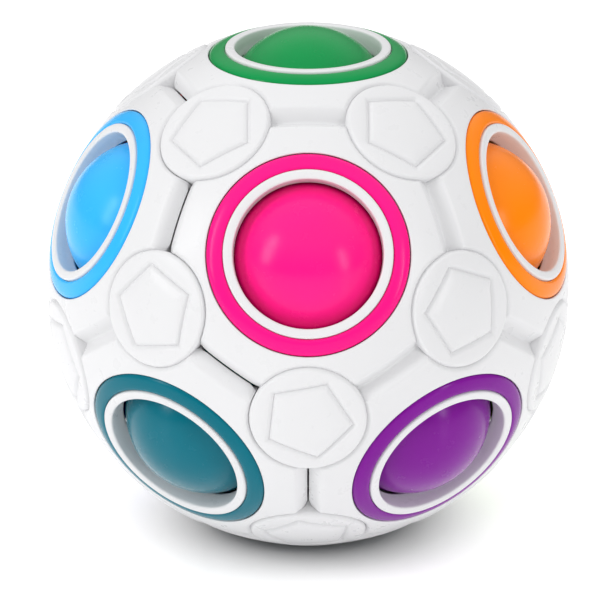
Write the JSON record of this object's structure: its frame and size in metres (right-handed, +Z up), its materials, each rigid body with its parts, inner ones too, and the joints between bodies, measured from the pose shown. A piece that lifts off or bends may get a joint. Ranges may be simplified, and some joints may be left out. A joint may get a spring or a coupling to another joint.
{
  "type": "sliding-ball sphere puzzle",
  "caption": "Hollow plastic sphere with round windows, coloured rings round them and coloured balls that press in and slide over to an empty window.",
  "frame": {"origin": "on the table, under the toy's centre, where the empty bottom window's flat rim rests", "axes": "+Z up through the centre of the top window; +X and +Y lie in the table's plane; the front, with a window of the upper belt square to it, faces -Y"},
  "size_m": [0.0698, 0.0704, 0.0693],
  "materials": {
    "shell_white": "glossy injection-moulded plastic",
    "plastic_green": "glossy injection-moulded plastic, coloured all through",
    "plastic_pink": "glossy injection-moulded plastic, coloured all through",
    "plastic_orange": "glossy injection-moulded plastic, coloured all through",
    "plastic_yellow": "glossy injection-moulded plastic, coloured all through",
    "plastic_purple": "glossy injection-moulded plastic, coloured all through",
    "plastic_lime": "glossy injection-moulded plastic, coloured all through",
    "plastic_sky": "glossy injection-moulded plastic, coloured all through",
    "plastic_red": "glossy injection-moulded plastic, coloured all through",
    "plastic_teal": "glossy injection-moulded plastic, coloured all through",
    "plastic_navy": "glossy injection-moulded plastic, coloured all through",
    "plastic_lilac": "glossy injection-moulded plastic, coloured all through",
    "plastic_grey": "glossy injection-moulded plastic, coloured all through",
    "foam": "matt closed-cell foam rubber"
  },
  "bodies": {
    "shell": {"shell_half_a": "shell_white", "shell_half_b": "shell_white", "ring_green": "plastic_green", "ring_pink": "plastic_pink", "ring_orange": "plastic_orange", "ring_yellow": "plastic_yellow", "ring_purple": "plastic_purple", "ring_lime": "plastic_lime", "ring_sky": "plastic_sky", "ring_red": "plastic_red", "ring_teal": "plastic_teal", "ring_navy": "plastic_navy", "ring_lilac": "plastic_lilac", "ring_grey": "plastic_grey", "foam_core": "foam"},
    "green_ball": {"ball_green": "plastic_green"},
    "pink_ball": {"ball_pink": "plastic_pink"},
    "orange_ball": {"ball_orange": "plastic_orange"},
    "yellow_ball": {"ball_yellow": "plastic_yellow"},
    "purple_ball": {"ball_purple": "plastic_purple"},
    "lime_ball": {"ball_lime": "plastic_lime"},
    "sky_ball": {"ball_sky": "plastic_sky"},
    "red_ball": {"ball_red": "plastic_red"},
    "teal_ball": {"ball_teal": "plastic_teal"},
    "navy_ball": {"ball_navy": "plastic_navy"},
    "lilac_ball": {"ball_lilac": "plastic_lilac"}
  },
  "joints": [
    {"name": "green_press", "type": "slide", "parent": "shell", "child": "green_ball", "axis": [0, 0, -1], "range_m": [0, 0.0038], "stiffness_N_per_m": 1200, "deforming": ["foam_core"]},
    {"name": "pink_press", "type": "slide", "parent": "shell", "child": "pink_ball", "axis": [0, 0.8944, -0.4472], "range_m": [0, 0.0038], "stiffness_N_per_m": 1200, "deforming": ["foam_core"]},
    {"name": "orange_press", "type": "slide", "parent": "shell", "child": "orange_ball", "axis": [-0.8507, 0.2764, -0.4472], "range_m": [0, 0.0038], "stiffness_N_per_m": 1200, "deforming": ["foam_core"]},
    {"name": "yellow_press", "type": "slide", "parent": "shell", "child": "yellow_ball", "axis": [-0.5257, -0.7236, -0.4472], "range_m": [0, 0.0038], "stiffness_N_per_m": 1200, "deforming": ["foam_core"]},
    {"name": "lime_press", "type": "slide", "parent": "shell", "child": "lime_ball", "axis": [-0.8507, -0.2764, 0.4472], "range_m": [0, 0.0038], "stiffness_N_per_m": 1200, "deforming": ["foam_core"]},
    {"name": "sky_press", "type": "slide", "parent": "shell", "child": "sky_ball", "axis": [0.8507, 0.2764, -0.4472], "range_m": [0, 0.0038], "stiffness_N_per_m": 1200, "deforming": ["foam_core"]},
    {"name": "red_press", "type": "slide", "parent": "shell", "child": "red_ball", "axis": [0.5257, -0.7236, -0.4472], "range_m": [0, 0.0038], "stiffness_N_per_m": 1200, "deforming": ["foam_core"]},
    {"name": "navy_press", "type": "slide", "parent": "shell", "child": "navy_ball", "axis": [0.8507, -0.2764, 0.4472], "range_m": [0, 0.0038], "stiffness_N_per_m": 1200, "deforming": ["foam_core"]},
    {"name": "lilac_press", "type": "slide", "parent": "shell", "child": "lilac_ball", "axis": [0, -0.8944, 0.4472], "range_m": [0, 0.0038], "stiffness_N_per_m": 1200, "deforming": ["foam_core"]},
    {"name": "teal_shift", "type": "hinge", "parent": "shell", "child": "teal_ball", "pos_m": [-0.02046, -0.02817, -0.02287], "axis": [-0.809, 0.5878, 0], "range_deg": [0, 32.37], "deforming": ["foam_core"]},
    {"name": "purple_shift", "type": "hinge", "parent": "shell", "child": "purple_ball", "pos_m": [0.02046, -0.02817, -0.02287], "axis": [0.809, 0.5878, 0], "range_deg": [-32.37, 0], "deforming": ["foam_core"]}
  ]
}
